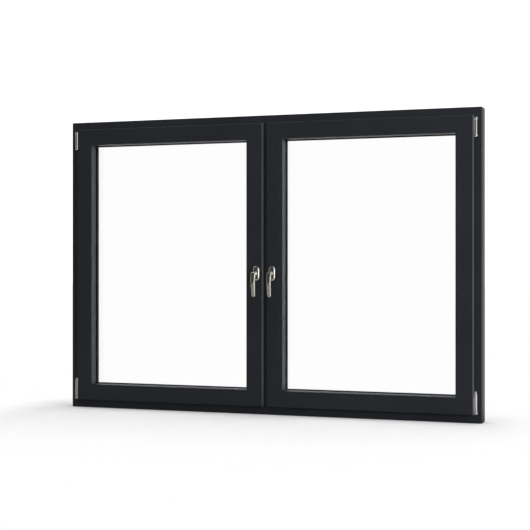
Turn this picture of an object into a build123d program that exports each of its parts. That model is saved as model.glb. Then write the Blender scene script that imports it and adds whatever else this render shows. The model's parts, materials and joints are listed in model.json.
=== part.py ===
from build123d import *
import os

# Window as a whole: room side faces -Y, the sill stands on Z = 0, X = 0 is the middle of the mullion
WIDTH = 2000.0
HEIGHT = 1385.0
FRAME_DEPTH = 80.0

# Outer frame profile, measured inward from the outer edge of the frame
FRAME_FACE = 48.0               # room face, outer edge to rebate floor
STOP_HEIGHT = 22.0              # exterior stop above the rebate floor
STOP_THICKNESS = 15.0
EDGE_BEVEL = 5.0                # slope on the exterior edge of stops and glazing lips
SOFT_EDGE = 1.5                 # radius of the profile edges that show
ANCHOR_GROOVE_WIDTH = 12.0      # clip grooves for wall anchors round the outer edge
ANCHOR_GROOVE_DEPTH = 5.0
ANCHOR_GROOVE_SPACING = 40.0

# Sash profile, measured inward from the edge of the lip that laps the frame
LIP_REVEAL = 35.0               # frame face left showing round the sashes
MULLION_REVEAL = 20.0           # mullion face left showing between the sashes
SEAL_GAP = 3.0                  # space filled by the sash seals
LIP_THICKNESS = 16.0
LIP_EDGE = 6.0                  # square part of the lip edge, next to the frame
LIP_BEVEL = 3.0                 # width of the sloped part of the lip edge
REBATE_GAP = 12.0               # air between rebate floor and sash
SASH_FACE = 78.0                # lip edge to the inner edge of the glazing bead
GLAZING_LIP = 11.0              # exterior lip that holds the glass
GLAZING_COVER = 19.5            # how far that lip covers the glazing rebate
HARDWARE_GROOVE_WIDTH = 16.0    # groove for the locking gear round the sash edge
HARDWARE_GROOVE_DEPTH = 9.0

# Insulating glass and glazing beads
PANE = 4.0
CAVITY = 16.0
EDGE_ROOM = 5.0                 # glass edge to rebate floor
GASKET = 3.0
GASKET_WIDTH = 8.0
SPACER_WIDTH = 14.0
SPACER_SHOW = 3.5               # spacer showing past the bead
BEAD_FACE = 17.0
BEAD_DRAFT = 2.5                # lean of the bead's inner face towards the glass
BEAD_TONGUE = 3.0
BEAD_TONGUE_WIDTH = 5.0
FIT = 0.2                       # play round tongues and pins

# Sash seals
LIP_SEAL_INSET = 4.0
SEAL_WIDTH = 6.0

# Hinges
HINGE_INSET = 26.5              # pin to the outer edge of the frame
HINGE_STANDOFF = 7.2            # pin to the room face of the frame
PIN_RADIUS = 3.0
SLEEVE_RADIUS = 6.3
EYE_RADIUS = 6.9
EYE_HEIGHT = 12.0
EYE_TAPER = 1.5                 # bevel at the free ends of eyes and pin cap
SLEEVE_PLAY = 1.0               # between sleeve and eyes, along the pin
LEAF_PLATE = 2.0
LEAF_CLEARANCE = 0.6            # leaf to the room face of the frame
LEAF_HOOK = 3.0                 # how far the leaf reaches behind the lip
TOP_HINGE_DROP = 44.0           # top of the upper hinge below the frame's top
TOP_HINGE_HEIGHT = 86.0
BOTTOM_HINGE_RISE = 40.0        # underside of the lower hinge above the frame's bottom
BOTTOM_HINGE_HEIGHT = 101.0
FOOT_HEIGHT = 13.0              # eye of the lower hinge, with its bearing block
BLOCK_HEIGHT = 9.0              # the bearing block alone
BLOCK_REACH = 7.5               # bearing block past the pin, towards the sash
PIN_CAP_RADIUS = 4.2
PIN_CAP_HEIGHT = 11.0

# Handles
HANDLE_BACKSET = 28.5           # lip edge to handle axis
HANDLE_HEIGHT = 654.0
ROSETTE_LENGTH = 66.0
ROSETTE_WIDTH = 29.0
ROSETTE_THICKNESS = 9.0
ROSETTE_RIM_HEIGHT = 5.0        # sloped rim of the rosette, along its axis
ROSETTE_RIM_WIDTH = 3.0
COLLAR_RADIUS = 7.0             # round part of the lever, in the rosette's bore
COLLAR_PLAY = 0.08
COLLAR_END_GAP = 0.5            # collar to the sash face
NECK_GAP = 5.0                  # flat neck to the rosette's face
NECK_HEIGHT = 8.5
GRIP_WIDTH = 20.0               # at the bend; the bar tapers from there
GRIP_END_WIDTH = 15.5
GRIP_LENGTH = 108.0             # handle axis to the end of the grip
GRIP_THICKNESS = 12.0
GRIP_END_THICKNESS = 7.0
GRIP_TOP_OUT = 51.0             # room side of the grip at its bend, from the sash face
GRIP_BOW_OUT = 57.0             # the same at its fullest
GRIP_END_OUT = 46.0             # the same at its end
GRIP_BOW_DROP = 40.0            # fullest place below the axis
GRIP_BOW_RADIUS = 110.0
OUTER_BEND_RADIUS = 10.0
INNER_BEND_RADIUS = 5.0
GRIP_END_ROUND = 5.0            # corners of the grip's end, seen from the room
GRIP_EDGE = 2.5                 # bevel of the edges on the room side
GRIP_BACK_EDGE = 1.2            # bevel of the edges on the sash side
FACING = 0.5                    # lean to the room or up past which a face is on the room side

# Drain caps on the exterior of the sill
CAP_LENGTH = 36.0
CAP_HEIGHT = 12.0
CAP_DEPTH = 6.0
CAP_EDGE = 2.0
CAP_RISE = 24.0
CAP_SLOT = 3.0
CAP_CORNER_DISTANCE = 180.0     # cap to the nearer side of its field

# Depth positions, Y = 0 at half the frame depth
room_y = -FRAME_DEPTH / 2
exterior_y = FRAME_DEPTH / 2
stop_y = exterior_y - STOP_THICKNESS
lip_y = room_y - SEAL_GAP
front_y = lip_y - LIP_THICKNESS
sash_back_y = stop_y - SEAL_GAP
glazing_y = sash_back_y - GLAZING_LIP
outer_glass_y = glazing_y - GASKET
inner_glass_y = outer_glass_y - 2 * PANE - CAVITY
bead_back_y = inner_glass_y - GASKET

# Positions across the profiles
lap = FRAME_FACE - LIP_REVEAL
body_edge = lap + REBATE_GAP
bead_seam = SASH_FACE - BEAD_FACE
glass_edge = bead_seam + EDGE_ROOM
bead_edge = SASH_FACE + BEAD_DRAFT
lip_sight = bead_seam + GLAZING_COVER
spacer_edge = bead_edge + SPACER_SHOW
tongue_y = (front_y + bead_back_y) / 2
groove_y = (lip_y + sash_back_y) / 2
mullion_half = MULLION_REVEAL / 2 + lap

AXIS_X = Vector(1, 0, 0)
AXIS_Y = Vector(0, 1, 0)
AXIS_Z = Vector(0, 0, 1)

os.makedirs("parts", exist_ok=True)


def save(part, label):
    """Name one sub-part and write it out."""
    part.label = label
    export_step(part, f"parts/{label}.step")


def notch(edge, depth, middle, width):
    """Square groove in an outline edge that runs towards -Y: four sharp corners."""
    return [
        (edge, middle + width / 2, 0),
        (edge + depth, middle + width / 2, 0),
        (edge + depth, middle - width / 2, 0),
        (edge, middle - width / 2, 0),
    ]


def bars_of(x_low, z_low, x_high, z_high):
    """Corner, inward direction, running direction and length of the four bars of a loop."""
    wide = x_high - x_low
    tall = z_high - z_low
    return {
        "bottom": (Vector(x_high, 0, z_low), AXIS_Z, -AXIS_X, wide),
        "top": (Vector(x_low, 0, z_high), -AXIS_Z, AXIS_X, wide),
        "left": (Vector(x_low, 0, z_low), AXIS_X, AXIS_Z, tall),
        "right": (Vector(x_high, 0, z_high), -AXIS_X, -AXIS_Z, tall),
    }


def mitred_bar(outline, corner, inward, run, length):
    """A length of profile with both ends cut at 45 degrees for the corner welds."""
    with BuildPart() as bar:
        with BuildSketch(Plane(origin=corner, x_dir=inward, z_dir=run)):
            with BuildLine():
                points = [(across, depth) for across, depth, radius in outline]
                radii = [radius for across, depth, radius in outline]
                FilletPolyline(*points, radius=radii, close=True)
            make_face()
        extrude(amount=length)
        split(bisect_by=Plane(origin=corner, z_dir=run - inward), keep=Keep.TOP)
        split(bisect_by=Plane(origin=corner + run * length, z_dir=-run - inward), keep=Keep.TOP)
    return bar.part


def room_plane(x, y, z):
    """Sketch plane parallel to the window, drawn as seen from the room."""
    return Plane(origin=(x, y, z), x_dir=(1, 0, 0), z_dir=(0, -1, 0))


def ring(loop, outer_inset, inner_inset, from_y, to_y):
    """Closed strip that runs round a loop, between two insets and two depths."""
    x_low, z_low, x_high, z_high = loop
    middle = room_plane((x_low + x_high) / 2, to_y, (z_low + z_high) / 2)
    wide = x_high - x_low
    tall = z_high - z_low
    with BuildPart() as strip:
        with BuildSketch(middle):
            Rectangle(wide - 2 * outer_inset, tall - 2 * outer_inset)
            Rectangle(wide - 2 * inner_inset, tall - 2 * inner_inset, mode=Mode.SUBTRACT)
        extrude(amount=to_y - from_y)
    return strip.part


def pane(loop, inset, from_y, to_y):
    """One sheet of glass inside a loop."""
    x_low, z_low, x_high, z_high = loop
    middle = room_plane((x_low + x_high) / 2, to_y, (z_low + z_high) / 2)
    with BuildPart() as sheet:
        with BuildSketch(middle):
            Rectangle(x_high - x_low - 2 * inset, z_high - z_low - 2 * inset)
        extrude(amount=to_y - from_y)
    return sheet.part


# Outer frame: four mitred bars
stop_edge = FRAME_FACE + STOP_HEIGHT
frame_outline = [
    (0, room_y, SOFT_EDGE),
    (FRAME_FACE, room_y, 0),
    (FRAME_FACE, stop_y, 0),
    (stop_edge, stop_y, 0),
    (stop_edge, exterior_y - EDGE_BEVEL, SOFT_EDGE),
    (stop_edge - EDGE_BEVEL, exterior_y, SOFT_EDGE),
    (0, exterior_y, SOFT_EDGE),
]
frame_outline += notch(0, ANCHOR_GROOVE_DEPTH, ANCHOR_GROOVE_SPACING / 2, ANCHOR_GROOVE_WIDTH)
frame_outline += notch(0, ANCHOR_GROOVE_DEPTH, -ANCHOR_GROOVE_SPACING / 2, ANCHOR_GROOVE_WIDTH)

frame_names = {
    "bottom": "frame_sill",
    "top": "frame_head",
    "left": "frame_left_jamb",
    "right": "frame_right_jamb",
}
for place, bar in bars_of(-WIDTH / 2, 0, WIDTH / 2, HEIGHT).items():
    save(mitred_bar(frame_outline, *bar), frame_names[place])

# Mullion: a T-shaped profile, its ends scribed to the head and the sill
with BuildPart() as mullion:
    with BuildSketch(Plane.XY.offset(FRAME_FACE / 2)):
        with BuildLine():
            half = [
                (mullion_half, room_y, 0),
                (mullion_half, stop_y, 0),
                (mullion_half + STOP_HEIGHT, stop_y, 0),
                (mullion_half + STOP_HEIGHT, exterior_y - EDGE_BEVEL, SOFT_EDGE),
                (mullion_half + STOP_HEIGHT - EDGE_BEVEL, exterior_y, SOFT_EDGE),
            ]
            whole = half + [(-x, y, radius) for x, y, radius in reversed(half)]
            FilletPolyline(
                *[(x, y) for x, y, radius in whole],
                radius=[radius for x, y, radius in whole],
                close=True,
            )
        make_face()
    extrude(amount=HEIGHT - FRAME_FACE)
    for level, inward in ((0, 1), (HEIGHT, -1)):
        with BuildSketch(Plane(origin=(0, 0, level), x_dir=(0, 0, inward), z_dir=(-inward, 0, 0))):
            with BuildLine():
                Polyline(
                    (0, room_y - EDGE_BEVEL),
                    (FRAME_FACE, room_y - EDGE_BEVEL),
                    (FRAME_FACE, stop_y),
                    (stop_edge, stop_y),
                    (stop_edge, exterior_y - EDGE_BEVEL),
                    (stop_edge - 2 * EDGE_BEVEL, exterior_y + EDGE_BEVEL),
                    (0, exterior_y + EDGE_BEVEL),
                    close=True,
                )
            make_face()
        extrude(amount=stop_edge, both=True, mode=Mode.SUBTRACT)
save(mullion.part, "frame_mullion")

# Sashes: welded profile, clipped beads, sealed glass unit and seals
sash_outline = [
    (0, lip_y, 0),
    (0, lip_y - LIP_EDGE, SOFT_EDGE),
    (LIP_BEVEL, front_y, SOFT_EDGE),
    (bead_seam, front_y, SOFT_EDGE / 2),
]
sash_outline += [
    (bead_seam, tongue_y - BEAD_TONGUE_WIDTH / 2 - FIT, 0),
    (bead_seam - BEAD_TONGUE - FIT, tongue_y - BEAD_TONGUE_WIDTH / 2 - FIT, 0),
    (bead_seam - BEAD_TONGUE - FIT, tongue_y + BEAD_TONGUE_WIDTH / 2 + FIT, 0),
    (bead_seam, tongue_y + BEAD_TONGUE_WIDTH / 2 + FIT, 0),
    (bead_seam, glazing_y, 0),
    (lip_sight, glazing_y, 0),
    (lip_sight, sash_back_y - EDGE_BEVEL, SOFT_EDGE),
    (lip_sight - EDGE_BEVEL, sash_back_y, SOFT_EDGE),
    (body_edge, sash_back_y, 0),
]
sash_outline += notch(body_edge, HARDWARE_GROOVE_DEPTH, groove_y, HARDWARE_GROOVE_WIDTH)
sash_outline += [(body_edge, lip_y, 0)]

bead_outline = [
    (bead_seam, front_y, SOFT_EDGE / 2),
    (SASH_FACE, front_y, SOFT_EDGE),
    (bead_edge, bead_back_y, 0),
    (bead_seam, bead_back_y, 0),
    (bead_seam, tongue_y + BEAD_TONGUE_WIDTH / 2, 0),
    (bead_seam - BEAD_TONGUE, tongue_y + BEAD_TONGUE_WIDTH / 2, 0),
    (bead_seam - BEAD_TONGUE, tongue_y - BEAD_TONGUE_WIDTH / 2, 0),
    (bead_seam, tongue_y - BEAD_TONGUE_WIDTH / 2, 0),
]

sash_loops = {
    "left": (-WIDTH / 2 + LIP_REVEAL, LIP_REVEAL, -MULLION_REVEAL / 2, HEIGHT - LIP_REVEAL),
    "right": (MULLION_REVEAL / 2, LIP_REVEAL, WIDTH / 2 - LIP_REVEAL, HEIGHT - LIP_REVEAL),
}
sash_names = {
    "left": {"bottom": "bottom_rail", "top": "top_rail", "left": "hinge_stile", "right": "lock_stile"},
    "right": {"bottom": "bottom_rail", "top": "top_rail", "left": "lock_stile", "right": "hinge_stile"},
}
stop_seal_inner = stop_edge - LIP_REVEAL - FIT
for side, loop in sash_loops.items():
    for place, bar in bars_of(*loop).items():
        save(mitred_bar(sash_outline, *bar), f"{side}_sash_{sash_names[side][place]}")
        bead = mitred_bar(bead_outline, *bar)
        save(bead, f"{side}_bead_{sash_names[side][place].split('_')[0]}")
    save(pane(loop, glass_edge, inner_glass_y, inner_glass_y + PANE), f"{side}_inner_pane")
    save(pane(loop, glass_edge, outer_glass_y - PANE, outer_glass_y), f"{side}_outer_pane")
    spacer = ring(
        loop, spacer_edge - SPACER_WIDTH, spacer_edge, inner_glass_y + PANE, outer_glass_y - PANE
    )
    save(spacer, f"{side}_glass_spacer")
    with BuildPart() as glazing_gaskets:
        add(ring(loop, bead_edge - GASKET_WIDTH, bead_edge, bead_back_y, inner_glass_y))
        add(ring(loop, lip_sight - GASKET_WIDTH, lip_sight, outer_glass_y, glazing_y))
    save(glazing_gaskets.part, f"{side}_glazing_gaskets")
    with BuildPart() as sash_seals:
        add(ring(loop, LIP_SEAL_INSET, LIP_SEAL_INSET + SEAL_WIDTH, lip_y, room_y))
        add(ring(loop, stop_seal_inner - SEAL_WIDTH, stop_seal_inner, sash_back_y, stop_y))
    save(sash_seals.part, f"{side}_sash_seals")

# Hinges: a bracket with eyes and pin on the frame, a leaf with a sleeve on the sash lip
pin_y = room_y - HINGE_STANDOFF


def hinge_bracket(pin_x, pin_bottom, pin_top, eyes):
    """Frame part of a hinge: a pin, and eyes round it that stand on the frame face."""
    with BuildPart() as bracket:
        with BuildSketch(Plane.XY.offset(pin_bottom)):
            with Locations((pin_x, pin_y)):
                Circle(PIN_RADIUS)
        extrude(amount=pin_top - pin_bottom)
        for eye_bottom, eye_top in eyes:
            with BuildSketch(Plane.XY.offset(eye_bottom)):
                with Locations((pin_x, pin_y)):
                    Circle(EYE_RADIUS)
                with Locations((pin_x, (pin_y + room_y) / 2)):
                    Rectangle(2 * EYE_RADIUS, HINGE_STANDOFF)
            extrude(amount=eye_top - eye_bottom)
    return bracket.part


def bevel_end(face):
    """Bevel the round edge of a hinge's free end."""
    chamfer(face.edges().filter_by(GeomType.CIRCLE), length=EYE_TAPER)


def hinge_leaf(pin_x, lip_x, toward_sash, bottom, top):
    """Sash part of a hinge: a sleeve on the pin, and a plate bent up the lip edge and behind it."""
    back_y = room_y - LEAF_CLEARANCE
    plate_x = lip_x - toward_sash * LEAF_PLATE
    hook_x = lip_x + toward_sash * LEAF_HOOK
    with BuildPart() as leaf:
        with BuildSketch(Plane.XY.offset(bottom)):
            with Locations((pin_x, pin_y)):
                Circle(SLEEVE_RADIUS)
            with BuildLine():
                Polyline(
                    (pin_x, back_y),
                    (hook_x, back_y),
                    (hook_x, back_y - LEAF_PLATE),
                    (lip_x, back_y - LEAF_PLATE),
                    (lip_x, lip_y - LIP_EDGE),
                    (plate_x, lip_y - LIP_EDGE),
                    (plate_x, back_y - LEAF_PLATE),
                    (pin_x, back_y - LEAF_PLATE),
                    close=True,
                )
            make_face()
            with Locations((pin_x, pin_y)):
                Circle(PIN_RADIUS + FIT, mode=Mode.SUBTRACT)
        extrude(amount=top - bottom)
    return leaf.part


hinge_sides = {"left": -1, "right": 1}
for side, sign in hinge_sides.items():
    pin_x = sign * (WIDTH / 2 - HINGE_INSET)
    lip_x = sign * (WIDTH / 2 - LIP_REVEAL)

    high = HEIGHT - TOP_HINGE_DROP
    low = high - TOP_HINGE_HEIGHT
    with BuildPart() as top_bracket:
        add(hinge_bracket(pin_x, low, high, [(low, low + EYE_HEIGHT), (high - EYE_HEIGHT, high)]))
        bevel_end(top_bracket.faces().sort_by(Axis.Z)[0])
        bevel_end(top_bracket.faces().sort_by(Axis.Z)[-1])
    save(top_bracket.part, f"{side}_top_hinge_bracket")
    sleeve_low = low + EYE_HEIGHT + SLEEVE_PLAY
    sleeve_high = high - EYE_HEIGHT - SLEEVE_PLAY
    save(hinge_leaf(pin_x, lip_x, -sign, sleeve_low, sleeve_high), f"{side}_top_hinge_leaf")

    foot_top = BOTTOM_HINGE_RISE + FOOT_HEIGHT
    hinge_top = BOTTOM_HINGE_RISE + BOTTOM_HINGE_HEIGHT
    cap_bottom = hinge_top - PIN_CAP_HEIGHT
    with BuildPart() as bottom_bracket:
        add(hinge_bracket(pin_x, BOTTOM_HINGE_RISE, cap_bottom, [(BOTTOM_HINGE_RISE, foot_top)]))
        with BuildSketch(Plane.XY.offset(BOTTOM_HINGE_RISE)):
            with Locations((pin_x - sign * BLOCK_REACH / 2, (room_y + pin_y - EYE_RADIUS) / 2)):
                Rectangle(BLOCK_REACH, HINGE_STANDOFF + EYE_RADIUS)
        extrude(amount=BLOCK_HEIGHT)
        with BuildSketch(Plane.XY.offset(cap_bottom)):
            with Locations((pin_x, pin_y)):
                Circle(PIN_CAP_RADIUS)
        extrude(amount=PIN_CAP_HEIGHT)
        bevel_end(bottom_bracket.faces().sort_by(Axis.Z)[-1])
    save(bottom_bracket.part, f"{side}_bottom_hinge_bracket")
    sleeve_low = foot_top + SLEEVE_PLAY
    sleeve_high = cap_bottom - SLEEVE_PLAY
    save(hinge_leaf(pin_x, lip_x, -sign, sleeve_low, sleeve_high), f"{side}_bottom_hinge_leaf")

# Handles: an oval rosette on the lock stile and a bent, bowed lever that turns in it
neck_start = ROSETTE_THICKNESS + NECK_GAP
lever_side_view = [
    (neck_start, NECK_HEIGHT / 2, 0),
    (GRIP_TOP_OUT, NECK_HEIGHT / 2, OUTER_BEND_RADIUS),
    (GRIP_BOW_OUT, -GRIP_BOW_DROP, GRIP_BOW_RADIUS),
    (GRIP_END_OUT, -GRIP_LENGTH, 0),
    (GRIP_END_OUT - GRIP_END_THICKNESS, -GRIP_LENGTH, 0),
    (GRIP_BOW_OUT - GRIP_THICKNESS, -GRIP_BOW_DROP, GRIP_BOW_RADIUS),
    (GRIP_TOP_OUT - GRIP_THICKNESS, -NECK_HEIGHT / 2, INNER_BEND_RADIUS),
    (neck_start, -NECK_HEIGHT / 2, 0),
]
lever_front_view = [
    (-GRIP_WIDTH / 2, NECK_HEIGHT / 2, 0),
    (GRIP_WIDTH / 2, NECK_HEIGHT / 2, 0),
    (GRIP_END_WIDTH / 2, -GRIP_LENGTH, GRIP_END_ROUND),
    (-GRIP_END_WIDTH / 2, -GRIP_LENGTH, GRIP_END_ROUND),
]


def rims(bar, outward):
    """Edges along the lever's bar: outward is 1 for its room side and -1 for its sash side."""
    end_level = HANDLE_HEIGHT - GRIP_LENGTH + GRIP_END_ROUND
    edges = ShapeList()
    for face in bar.faces().filter_by(lambda face: face.center().Z > end_level):
        normal = face.normal_at()
        if outward * (normal.Z - normal.Y) > FACING:
            edges += face.edges().filter_by(Axis.X, reverse=True)
    return edges


for side, sign in hinge_sides.items():
    handle_x = sign * (MULLION_REVEAL / 2 + HANDLE_BACKSET)
    front = room_plane(handle_x, front_y, HANDLE_HEIGHT)
    with BuildPart() as rosette:
        with BuildSketch(front):
            SlotOverall(ROSETTE_LENGTH, ROSETTE_WIDTH, rotation=90)
        extrude(amount=ROSETTE_THICKNESS)
        rim = rosette.faces().sort_by(Axis.Y)[0]
        chamfer(rim.edges(), length=ROSETTE_RIM_WIDTH, length2=ROSETTE_RIM_HEIGHT, reference=rim)
        with BuildSketch(front):
            Circle(COLLAR_RADIUS + COLLAR_PLAY)
        extrude(amount=ROSETTE_THICKNESS, mode=Mode.SUBTRACT)
    save(rosette.part, f"{side}_handle_rosette")

    # The lever is its side view cut to its front view; the collar joins it to the rosette
    with BuildPart() as lever:
        with BuildSketch(Plane(origin=front.origin, x_dir=(0, -1, 0), z_dir=(-1, 0, 0))):
            with BuildLine():
                FilletPolyline(
                    *[(out, up) for out, up, radius in lever_side_view],
                    radius=[radius for out, up, radius in lever_side_view],
                    close=True,
                )
            make_face()
        extrude(amount=GRIP_WIDTH / 2, both=True)
        with BuildSketch(front):
            with BuildLine():
                FilletPolyline(
                    *[(across, up) for across, up, radius in lever_front_view],
                    radius=[radius for across, up, radius in lever_front_view],
                    close=True,
                )
            make_face()
        extrude(amount=GRIP_BOW_OUT, mode=Mode.INTERSECT)
        chamfer(rims(lever, 1), length=GRIP_EDGE)
        chamfer(rims(lever, -1), length=GRIP_BACK_EDGE)
        with BuildSketch(room_plane(handle_x, front_y - COLLAR_END_GAP, HANDLE_HEIGHT)):
            Circle(COLLAR_RADIUS)
        extrude(amount=neck_start - COLLAR_END_GAP)
    save(lever.part, f"{side}_handle_lever")

# Drain caps: hooded covers over the weep slots of the sill
cap_inner = MULLION_REVEAL / 2 + CAP_CORNER_DISTANCE
cap_outer = WIDTH / 2 - CAP_CORNER_DISTANCE
with BuildPart() as drain_caps:
    for cap_x in (-cap_outer, -cap_inner, cap_inner, cap_outer):
        cap_plane = room_plane(cap_x, exterior_y, CAP_RISE)
        with BuildSketch(cap_plane):
            cap = Rectangle(CAP_LENGTH, CAP_HEIGHT)
            chamfer(cap.vertices(), length=CAP_EDGE)
        extrude(amount=-CAP_DEPTH)
        with BuildSketch(cap_plane):
            with Locations((0, (CAP_SLOT - CAP_HEIGHT) / 2)):
                Rectangle(CAP_LENGTH - 4 * CAP_EDGE, CAP_SLOT)
        extrude(amount=-CAP_DEPTH + CAP_EDGE, mode=Mode.SUBTRACT)
save(drain_caps.part, "drain_caps")
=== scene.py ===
import json
from math import radians, sin, cos

import bmesh
import bpy
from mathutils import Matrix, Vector


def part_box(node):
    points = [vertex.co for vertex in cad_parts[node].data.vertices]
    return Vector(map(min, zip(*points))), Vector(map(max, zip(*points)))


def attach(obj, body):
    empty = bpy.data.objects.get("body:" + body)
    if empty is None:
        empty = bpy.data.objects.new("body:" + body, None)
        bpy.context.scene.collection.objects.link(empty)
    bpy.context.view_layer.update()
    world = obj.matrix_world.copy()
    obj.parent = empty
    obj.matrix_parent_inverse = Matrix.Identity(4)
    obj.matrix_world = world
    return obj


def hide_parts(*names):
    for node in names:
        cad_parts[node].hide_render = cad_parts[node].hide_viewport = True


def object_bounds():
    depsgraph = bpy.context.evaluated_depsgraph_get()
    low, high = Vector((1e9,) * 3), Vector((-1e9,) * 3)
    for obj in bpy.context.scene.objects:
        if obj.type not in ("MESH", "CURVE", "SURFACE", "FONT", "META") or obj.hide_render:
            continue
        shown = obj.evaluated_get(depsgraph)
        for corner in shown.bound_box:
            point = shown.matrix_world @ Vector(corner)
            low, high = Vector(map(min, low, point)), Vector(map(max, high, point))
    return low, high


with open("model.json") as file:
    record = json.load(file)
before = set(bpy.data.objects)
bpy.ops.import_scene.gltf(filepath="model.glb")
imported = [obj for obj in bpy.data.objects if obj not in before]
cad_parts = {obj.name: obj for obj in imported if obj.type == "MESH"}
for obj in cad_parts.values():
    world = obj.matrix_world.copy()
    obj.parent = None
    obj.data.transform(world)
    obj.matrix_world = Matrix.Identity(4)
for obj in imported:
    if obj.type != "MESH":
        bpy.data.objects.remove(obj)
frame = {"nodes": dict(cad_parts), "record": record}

CAD_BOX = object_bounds()
NODES = frame["nodes"]
SLOT_OF = {sub["node"]: sub["material_slot"] for sub in frame["record"]["subparts"]}

HALF_WIDTH = CAD_BOX[1][0]
MID_HEIGHT = (CAD_BOX[0][2] + CAD_BOX[1][2]) / 2
FRAME_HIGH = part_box("frame_head")[1]
SASH_LOW, SASH_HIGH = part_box("right_sash_top_rail")
# A loop of welded bars: its middle's distance from x = 0, its half width and its half height
FRAME_LOOP = (0.0, FRAME_HIGH[0], FRAME_HIGH[2] - MID_HEIGHT)
SASH_LOOP = (
    (SASH_LOW[0] + SASH_HIGH[0]) / 2,
    (SASH_HIGH[0] - SASH_LOW[0]) / 2,
    SASH_HIGH[2] - MID_HEIGHT,
)

# Colours, in linear light
WHITE = (1.0, 1.0, 1.0)
ANTHRACITE = (0.0208, 0.0236, 0.0293)
SPACER_BLACK = (0.007, 0.007, 0.008)
SEAL_BLACK = (0.012, 0.012, 0.013)
SLIT_GREY = (0.035, 0.035, 0.036)
HINGE_NICKEL = (0.74, 0.73, 0.70)
HANDLE_NICKEL = (0.74, 0.71, 0.64)
LAMP_TINT = (0.97, 0.985, 0.98)

# Metres along a bar from its mitre line at which a weld groove starts to fade and is gone
WELD_FADE = (0.0002, 0.0009)
# Noise cells per metre
CLOUD_SCALE = 3.0
HAZE_SCALE = 6.0
TONE_SCALE = 60.0
SPECK_SCALE = 400.0
GRAIN_SCALE = 900.0
BRUSHED_SCALE = (2500, 2500, 60)

# Die-cast edges: cell of the fine mesh in metres, and smoothing passes
LEVER_CAST = (0.0006, 45)
ROSETTE_CAST = (0.0005, 80)
HINGE_CAST = (0.0006, 4)
SAME_POINT = 1e-6
HINGE_PIECES = ("_top_hinge_bracket", "_top_hinge_leaf", "_bottom_hinge_bracket", "_bottom_hinge_leaf")

# Breathing slits of the spacer bars: sizes in metres, sides of one slit, digits that tell corners apart
SLIT_SIZES = {"Pitch": 0.006, "Length": 0.0024, "Width": 0.0012, "Depth": 0.0002}
SLIT_SIDES = 8
CORNER_DIGITS = 5

# Studio floor: lengths in metres, levels from 0 for black to 1 for white. In its fades a metre beside the
# window counts BESIDE_WEIGHT times, and a metre behind it BEHIND_EXTRA times more than one in front
FLOOR_HALF = 30.0
FLOOR_HEIGHT = -0.0004
FLOOR_PAINT = 0.80
FLOOR_DIFFUSE = 0.26
FLOOR_MIRRORED = 0.06
FLOOR_MIRRORED_NEAR = 0.24
BESIDE_WEIGHT = 4.0
BEHIND_EXTRA = 2.0
SHADOW_FADE = (0.25, 1.5)
MIRRORED_FADE = (1.5, 5.0)
BACKDROP_BEHIND = (0.05, 0.4)
BACKDROP_RIGHT = (HALF_WIDTH, HALF_WIDTH + 0.5)

# Studio room: levels, and the parts of a direction over which they change
ROOM_DIFFUSE = 0.36
ROOM_MIRRORED = 0.06
ROOM_BRIGHT = 0.88
ROOM_HIGH_LOSS = 0.95
ROOM_BEHIND = (-0.05, 0.45)
ROOM_RIGHT = (0.45, 0.95)
ROOM_HIGH = (0.1, 0.45)

# Camera: lengths in pixels of the square image, sensor in millimetres, place in metres
IMAGE_PIXELS = 530.0
FOCAL_PIXELS = 1248.6
SHIFT_PIXELS = -3.04
SENSOR_WIDTH = 36.0
CAMERA_PLACE = (1.902, -5.4975, 0.7062)
CAMERA_TURN = radians(19.24)

# Sockets of the Mix node that carry colours
MIX_LOW, MIX_HIGH, MIX_RESULT = 6, 7, 2


class Wire:
    """An output socket that takes part in arithmetic: each operator adds one Math node."""

    def __init__(self, finish, socket):
        self.finish = finish
        self.socket = socket

    def math(self, operation, *values):
        inputs = dict(enumerate(values))
        return self.finish.node("ShaderNodeMath", {"operation": operation}, inputs)

    def __add__(self, other):
        return self.math("ADD", self, other)

    def __sub__(self, other):
        return self.math("SUBTRACT", self, other)

    def __rsub__(self, other):
        return self.math("SUBTRACT", other, self)

    def __mul__(self, other):
        return self.math("MULTIPLY", self, other)

    def __abs__(self):
        return self.math("ABSOLUTE", self)

    def at_least(self, other):
        return self.math("MAXIMUM", self, other)

    __radd__ = __add__
    __rmul__ = __mul__

    def between(self, low, high):
        """0 below low, 1 above high, smooth in between."""
        settings = {"interpolation_type": "SMOOTHSTEP"}
        inputs = {"Value": self, "From Min": low, "From Max": high}
        return self.finish.node("ShaderNodeMapRange", settings, inputs)


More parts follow.
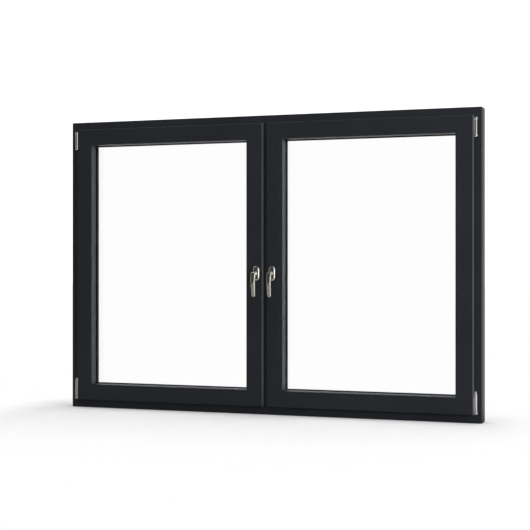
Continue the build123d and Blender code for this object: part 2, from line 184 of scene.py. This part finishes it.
class Finish:
    """A node tree being written: materials use it for surfaces, the world for its light."""

    def __init__(self, owner):
        owner.use_nodes = True
        self.tree = owner.node_tree
        self.tree.nodes.clear()

    def node(self, kind, settings=None, inputs=None, output=0):
        """One node of any type: settings first, then the values or links of its sockets."""
        made = self.tree.nodes.new(kind)
        for name, value in (settings or {}).items():
            setattr(made, name, value)
        for key, value in (inputs or {}).items():
            if isinstance(value, Wire):
                self.tree.links.new(value.socket, made.inputs[key])
            else:
                made.inputs[key].default_value = value
        return Wire(self, made.outputs[output]) if made.outputs else None

    def spot(self):
        """Object coordinates, in metres."""
        return self.node("ShaderNodeTexCoord", output="Object")

    def part(self, vector, axis):
        """The X, Y or Z of a vector."""
        return self.node("ShaderNodeSeparateXYZ", {}, {0: vector}, axis)

    def vector(self, x, y, z):
        return self.node("ShaderNodeCombineXYZ", {}, {0: x, 1: y, 2: z})

    def length(self, vector):
        return self.node("ShaderNodeVectorMath", {"operation": "LENGTH"}, {0: vector}, "Value")

    def noise(self, spot, scale, detail, roughness=0.5):
        inputs = {"Vector": spot, "Scale": scale, "Detail": detail, "Roughness": roughness}
        return self.node("ShaderNodeTexNoise", {}, inputs)

    def stretched(self, spot, scale):
        return self.node("ShaderNodeMapping", {}, {"Vector": spot, "Scale": scale})

    def blend(self, factor, low, high):
        """Colour from low to high by factor."""
        inputs = {0: factor, MIX_LOW: low, MIX_HIGH: high}
        return self.node("ShaderNodeMix", {"data_type": "RGBA"}, inputs, MIX_RESULT)

    def ray(self, kind):
        """1 for rays of one kind and 0 for others."""
        return self.node("ShaderNodeLightPath", output=kind)

    def seen(self):
        """1 for what the camera sees, plainly or through glass, and 0 for the rest."""
        return self.ray("Is Camera Ray").at_least(self.ray("Is Transmission Ray"))

    def bump(self, height, distance, strength):
        inputs = {"Height": height, "Distance": distance, "Strength": strength}
        return self.node("ShaderNodeBump", {}, inputs)

    def surface(self, shader):
        self.node("ShaderNodeOutputMaterial", {}, {"Surface": shader})


def material(name):
    made = bpy.data.materials.new(name)
    return made, Finish(made)


def rgba(colour, share=1.0):
    """A colour, or a darker or lighter share of it, as a colour socket takes it."""
    return (*(part * share for part in colour), 1.0)


def pvc_foil(name, loop):
    """Satin anthracite foil on pvc: fine emboss, faint cloudiness and the corner welds of a loop."""
    made, f = material(name)
    spot = f.spot()
    middle, half_width, half_height = loop
    from_side = half_width - abs(abs(f.part(spot, "X")) - middle)
    from_end = half_height - abs(f.part(spot, "Z") - MID_HEIGHT)
    weld = 1.0 - abs(from_side - from_end).between(*WELD_FADE)
    cloud = f.noise(spot, CLOUD_SCALE, detail=3.0)
    grain = f.noise(spot, GRAIN_SCALE, detail=2.0)
    foil = f.blend(cloud.between(0.3, 0.7), rgba(ANTHRACITE), rgba(ANTHRACITE, share=1.15))
    shader = f.node("ShaderNodeBsdfPrincipled", {}, {
        "Base Color": f.blend(weld, foil, rgba(ANTHRACITE, share=0.55)),
        "Roughness": 0.42 + grain * 0.08 - weld * 0.15,
        "Normal": f.bump(grain * 0.1 - weld, distance=0.0005, strength=0.5),
        "Specular IOR Level": 0.35,
    })
    f.surface(shader)
    return made


def clear_glass():
    """Float glass: clear, faintly uneven gloss, and open to lamp light."""
    made, f = material("clear_glass")
    haze = f.noise(f.spot(), HAZE_SCALE, detail=4.0)
    glass = f.node("ShaderNodeBsdfPrincipled", {}, {
        "Base Color": rgba(WHITE),
        "Roughness": haze.between(0.55, 0.8) * 0.01,
        "IOR": 1.35,
        "Transmission Weight": 1.0,
    })
    lit = f.node("ShaderNodeBsdfTransparent", {}, {"Color": rgba(LAMP_TINT)})
    f.surface(f.node("ShaderNodeMixShader", {}, {0: f.ray("Is Shadow Ray"), 1: glass, 2: lit}))
    return made


def dull_moulding(name, base, gloss):
    """Dull rubber or plastic with a fine speckle."""
    made, f = material(name)
    speck = f.noise(f.spot(), SPECK_SCALE, detail=3.0)
    shader = f.node("ShaderNodeBsdfPrincipled", {}, {
        "Base Color": f.blend(speck, rgba(base), rgba(base, share=1.6)),
        "Roughness": 0.6 + speck * 0.2,
        "Normal": f.bump(speck, distance=0.0001, strength=0.2),
        "Specular IOR Level": gloss,
    })
    f.surface(shader)
    return made


def satin_metal(name, base):
    """Satin nickel, finely brushed along its height."""
    made, f = material(name)
    spot = f.spot()
    lines = f.noise(f.stretched(spot, BRUSHED_SCALE), 1.0, detail=4.0, roughness=0.6)
    tone = f.noise(spot, TONE_SCALE, detail=2.0)
    shader = f.node("ShaderNodeBsdfPrincipled", {}, {
        "Base Color": f.blend(tone, rgba(base), rgba(base, share=0.9)),
        "Metallic": 1.0,
        "Roughness": 0.16 + lines * 0.1,
        "Normal": f.bump(lines, distance=0.00005, strength=0.15),
    })
    f.surface(shader)
    return made


FINISHES = {
    "frame_pvc": pvc_foil("anthracite_frame_foil", FRAME_LOOP),
    "sash_pvc": pvc_foil("anthracite_sash_foil", SASH_LOOP),
    "bead_pvc": pvc_foil("anthracite_bead_foil", SASH_LOOP),
    "clear_glass": clear_glass(),
    "spacer_black": dull_moulding("black_spacer", SPACER_BLACK, gloss=0.05),
    "seal_rubber": dull_moulding("black_seal", SEAL_BLACK, gloss=0.15),
    "hinge_metal": satin_metal("satin_hinge", HINGE_NICKEL),
    "handle_metal": satin_metal("satin_handle", HANDLE_NICKEL),
    "cap_plastic": dull_moulding("drain_cap_plastic", ANTHRACITE, gloss=0.3),
}
# Foil and metal mirror only the studio, so of the window's pieces glossy rays meet the glass alone
for name, node in NODES.items():
    node.data.materials.clear()
    node.data.materials.append(FINISHES[SLOT_OF[name]])
    node.visible_glossy = SLOT_OF[name] == "clear_glass"


def add_piece(name, mesh, slot, body):
    """Link a mesh as a piece of the window, with its finish and the body that it moves with."""
    piece = bpy.data.objects.new(name, mesh)
    bpy.context.scene.collection.objects.link(piece)
    piece.visible_glossy = False
    if not mesh.materials:
        mesh.materials.append(FINISHES[slot])
    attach(piece, body)
    return piece


def plain_mesh(maker, name):
    """The evaluated mesh of an object that only carries modifiers; the object itself goes."""
    bpy.context.scene.collection.objects.link(maker)
    evaluated = maker.evaluated_get(bpy.context.evaluated_depsgraph_get())
    mesh = bpy.data.meshes.new_from_object(evaluated)
    mesh.name = name
    bpy.data.objects.remove(maker)
    return mesh


def rounded(node_name, body, cast):
    """Die-cast metal has no sharp edge: a copy of a node with rounded edges stands for it."""
    voxel, passes = cast
    shape = bmesh.new()
    shape.from_mesh(NODES[node_name].data)
    bmesh.ops.remove_doubles(shape, verts=shape.verts, dist=SAME_POINT)
    mesh = bpy.data.meshes.new(node_name + "_sharp")
    shape.to_mesh(mesh)
    shape.free()
    maker = bpy.data.objects.new(mesh.name, mesh)
    skin = maker.modifiers.new("skin", "REMESH")
    skin.mode = "VOXEL"
    skin.voxel_size = voxel
    skin.use_smooth_shade = True
    soften = maker.modifiers.new("soften", "SMOOTH")
    soften.factor = 0.5
    soften.iterations = passes
    name = node_name + "_rounded"
    piece = add_piece(name, plain_mesh(maker, name), SLOT_OF[node_name], body)
    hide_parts(node_name)


def slit_tree():
    """Geometry nodes: slits, flat drawn-out polygons, at an even pitch along the edges of a loop."""
    tree = bpy.data.node_groups.new("spacer_slits", "GeometryNodeTree")
    face = tree.interface
    face.new_socket("Geometry", in_out="INPUT", socket_type="NodeSocketGeometry")
    for size in SLIT_SIZES:
        face.new_socket(size, in_out="INPUT", socket_type="NodeSocketFloat")
    face.new_socket("Material", in_out="INPUT", socket_type="NodeSocketMaterial")
    face.new_socket("Geometry", in_out="OUTPUT", socket_type="NodeSocketGeometry")

    def add(kind, settings, **links):
        made = tree.nodes.new(kind)
        for setting, value in settings.items():
            setattr(made, setting, value)
        for key, value in links.items():
            socket = made.inputs[key.replace("_", " ")]
            if isinstance(value, bpy.types.NodeSocket):
                tree.links.new(value, socket)
            else:
                socket.default_value = value
        return made.outputs[0] if made.outputs else None

    given = tree.nodes.new("NodeGroupInput").outputs
    loop = add("GeometryNodeMeshToCurve", {}, Mesh=given["Geometry"])
    points = add("GeometryNodeResampleCurve", {"mode": "LENGTH"}, Curve=loop, Length=given["Pitch"])
    slit = add("GeometryNodeMeshCylinder", {}, Vertices=SLIT_SIDES, Radius=0.5, Depth=1.0)
    across = add("FunctionNodeInputVector", {"vector": (0, 1, 0)})
    along = add("GeometryNodeInputTangent", {})
    turn = add("FunctionNodeAxesToRotation", {}, Primary_Axis=along, Secondary_Axis=across)
    size = add("ShaderNodeCombineXYZ", {}, X=given["Length"], Y=given["Width"], Z=given["Depth"])
    many = add("GeometryNodeInstanceOnPoints", {}, Points=points, Instance=slit, Rotation=turn, Scale=size)
    real = add("GeometryNodeRealizeInstances", {}, Geometry=many)
    painted = add("GeometryNodeSetMaterial", {}, Geometry=real, Material=given["Material"])
    add("NodeGroupOutput", {}, Geometry=painted)
    return tree


def spacer_slits():
    """Breathing slits in the spacer bars, along the faces that look into the sealed cavities."""
    loops = bmesh.new()
    for name in ("left_glass_spacer", "right_glass_spacer"):
        low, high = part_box(name)
        y = (low[1] + high[1]) / 2
        corners = [vertex.co for vertex in NODES[name].data.vertices]
        # Of a spacer's four x and four z the middle two belong to its inner faces
        x_low, x_high = sorted({round(corner.x, CORNER_DIGITS) for corner in corners})[1:3]
        z_low, z_high = sorted({round(corner.z, CORNER_DIGITS) for corner in corners})[1:3]
        around = ((x_low, z_low), (x_high, z_low), (x_high, z_high), (x_low, z_high))
        ring = [loops.verts.new((x, y, z)) for x, z in around]
        for start, end in zip(ring, ring[1:] + ring[:1]):
            loops.edges.new((start, end))
    mesh = bpy.data.meshes.new("spacer_loops")
    loops.to_mesh(mesh)
    loops.free()
    maker = bpy.data.objects.new("spacer_loops", mesh)
    run = maker.modifiers.new("slits", "NODES")
    run.node_group = slit_tree()
    inputs = {**SLIT_SIZES, "Material": dull_moulding("spacer_slit", SLIT_GREY, gloss=0.1)}
    for socket in run.node_group.interface.items_tree:
        if socket.in_out == "INPUT" and socket.name in inputs:
            run[socket.identifier] = inputs[socket.name]
    add_piece("spacer_slits", plain_mesh(maker, "spacer_slits"), "spacer_black", "window")


for side in ("left", "right"):
    rounded(side + "_handle_lever", side + "_lever", LEVER_CAST)
    rounded(side + "_handle_rosette", "window", ROSETTE_CAST)
    for hinge in HINGE_PIECES:
        rounded(side + hinge, "window", HINGE_CAST)
spacer_slits()


def floor():
    """Pale studio floor: keeps the shadow near the window and fades to plain white."""
    mesh = bpy.data.meshes.new("studio_floor")
    corners = [
        (-FLOOR_HALF, -FLOOR_HALF, 0),
        (FLOOR_HALF, -FLOOR_HALF, 0),
        (FLOOR_HALF, FLOOR_HALF, 0),
        (-FLOOR_HALF, FLOOR_HALF, 0),
    ]
    mesh.from_pydata(corners, [], [(0, 1, 2, 3)])
    made = bpy.data.objects.new("studio_floor", mesh)
    bpy.context.scene.collection.objects.link(made)
    made.location.z = FLOOR_HEIGHT
    paint, f = material("studio_floor")
    spot = f.spot()
    x = f.part(spot, "X")
    y = f.part(spot, "Y")
    beside = BESIDE_WEIGHT * (abs(x) - HALF_WIDTH).at_least(0.0)
    behind = y + BEHIND_EXTRA * y.at_least(0.0)
    away = f.length(f.vector(beside, behind, 0.0))
    near = 1.0 - away.between(*MIRRORED_FADE)
    backdrop = y.between(*BACKDROP_BEHIND).at_least(x.between(*BACKDROP_RIGHT))
    mirrored = (FLOOR_MIRRORED + FLOOR_MIRRORED_NEAR * near).at_least(backdrop)
    unseen = FLOOR_DIFFUSE + f.ray("Is Glossy Ray") * (mirrored - FLOOR_DIFFUSE)
    level = unseen.at_least(f.seen())
    grey = FLOOR_PAINT * level
    matt = f.node("ShaderNodeBsdfDiffuse", {}, {"Color": f.vector(grey, grey, grey)})
    white = f.node("ShaderNodeEmission", {}, {"Color": rgba(WHITE), "Strength": level})
    f.surface(f.node("ShaderNodeMixShader", {}, {0: away.between(*SHADOW_FADE), 1: matt, 2: white}))
    mesh.materials.append(paint)


def softbox(name, energy, side, place, target):
    """A square area lamp that only lights: neither the camera nor a mirrored ray meets it."""
    data = bpy.data.lights.new(name, "AREA")
    data.energy = energy
    data.size = side
    made = bpy.data.objects.new(name, data)
    made.location = place
    made.rotation_euler = (Vector(target) - Vector(place)).to_track_quat("-Z", "Y").to_euler()
    bpy.context.scene.collection.objects.link(made)
    made.visible_camera = False
    made.visible_glossy = False


def studio_light():
    """A white studio: bright behind and to the right, dim above and on the camera's side."""
    world = bpy.data.worlds.new("studio")
    bpy.context.scene.world = world
    f = Finish(world)
    way = f.node("ShaderNodeTexCoord", output="Generated")
    behind = f.part(way, "Y").between(*ROOM_BEHIND)
    right = f.part(way, "X").between(*ROOM_RIGHT)
    low = 1.0 - ROOM_HIGH_LOSS * f.part(way, "Z").between(*ROOM_HIGH)
    front = ROOM_DIFFUSE - (ROOM_DIFFUSE - ROOM_MIRRORED) * f.ray("Is Glossy Ray")
    room = front + ROOM_BRIGHT * behind.at_least(right) * low
    inputs = {"Color": rgba(WHITE), "Strength": room.at_least(f.seen())}
    f.node("ShaderNodeOutputWorld", {}, {"Surface": f.node("ShaderNodeBackground", {}, inputs)})
    softbox("right_softbox", energy=250.0, side=2.5, place=(6.0, -1.8, 1.6), target=(0, 0, 0.7))
    softbox("overhead_softbox", energy=235.0, side=7.0, place=(0, 0, 4.5), target=(0, 0, 0))


def camera():
    """A level camera to the right of the window's middle, turned towards it."""
    data = bpy.data.cameras.new("camera")
    data.sensor_width = SENSOR_WIDTH
    data.lens = FOCAL_PIXELS * SENSOR_WIDTH / IMAGE_PIXELS
    data.shift_y = SHIFT_PIXELS / IMAGE_PIXELS
    made = bpy.data.objects.new("camera", data)
    bpy.context.scene.collection.objects.link(made)
    made.location = CAMERA_PLACE
    view = Vector((-sin(CAMERA_TURN), cos(CAMERA_TURN), 0.0))
    made.rotation_euler = view.to_track_quat("-Z", "Y").to_euler()
    bpy.context.scene.camera = made


floor()
studio_light()
camera()
bpy.context.scene.view_settings.view_transform = "Standard"
